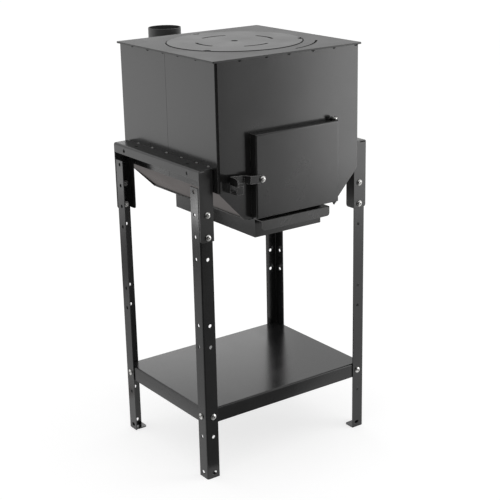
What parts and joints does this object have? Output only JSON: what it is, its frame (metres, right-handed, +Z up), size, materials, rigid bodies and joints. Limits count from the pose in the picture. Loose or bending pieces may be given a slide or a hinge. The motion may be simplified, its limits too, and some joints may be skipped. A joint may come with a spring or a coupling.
{
  "type": "outdoor wood stove",
  "caption": "Square sheet-steel wood stove on a bolted angle stand: hob disc, hinged latched door, hopper base, ash drawer, rear flue spigot and lower shelf.",
  "frame": {"origin": "on the floor under the middle of the whole object's box", "axes": "+Z up, -Y out of the door side, +X to the right of someone facing the door"},
  "size_m": [0.4682, 0.604, 0.9505],
  "materials": {
    "black_steel": "satin black heat-resistant coating",
    "leg_steel": "satin black coating",
    "grate_iron": "rough cast",
    "zinc_steel": "bright zinc plated"
  },
  "bodies": {
    "stove": {"front_shell": "black_steel", "rear_shell": "black_steel", "top_plate": "black_steel", "hob_seat_ring": "black_steel", "hob_collar": "black_steel", "hopper_left": "black_steel", "hopper_right": "black_steel", "base_plate": "black_steel", "grate": "grate_iron", "smoke_box": "black_steel", "flue_spigot": "black_steel", "hinge_lug_upper": "black_steel", "hinge_lug_lower": "black_steel", "hinge_pin": "zinc_steel", "latch_keeper": "black_steel", "drawer_rail_left": "black_steel", "drawer_rail_right": "black_steel", "bracket_left": "black_steel", "bracket_right": "black_steel", "leg_front_left": "leg_steel", "leg_front_right": "leg_steel", "leg_rear_left": "leg_steel", "leg_rear_right": "leg_steel", "shelf": "leg_steel", "leg_bolts": "zinc_steel", "leg_nuts": "zinc_steel", "shelf_bolts": "zinc_steel", "shelf_nuts": "zinc_steel"},
    "fire_door": {"door_pan": "black_steel", "latch_bolt": "zinc_steel", "latch_nut": "zinc_steel"},
    "latch": {"latch_lever": "black_steel"},
    "drawer": {"ash_drawer": "black_steel", "drawer_handle": "black_steel"},
    "disc": {"hob_disc": "black_steel"}
  },
  "joints": [
    {"name": "door_hinge", "type": "hinge", "parent": "stove", "child": "fire_door", "pos_m": [0.112, -0.2733, 0.6945], "axis": [0, 0, 1], "range_deg": [0, 100]},
    {"name": "latch_pivot", "type": "hinge", "parent": "fire_door", "child": "latch", "pos_m": [-0.0955, -0.2843, 0.69], "axis": [0, 1, 0], "range_deg": [-12, 38]},
    {"name": "drawer_slide", "type": "slide", "parent": "stove", "child": "drawer", "axis": [0, -1, 0], "range_m": [0, 0.26]},
    {"name": "disc_lift", "type": "slide", "parent": "stove", "child": "disc", "axis": [0, 0, 1], "range_m": [0, 0.15]}
  ]
}
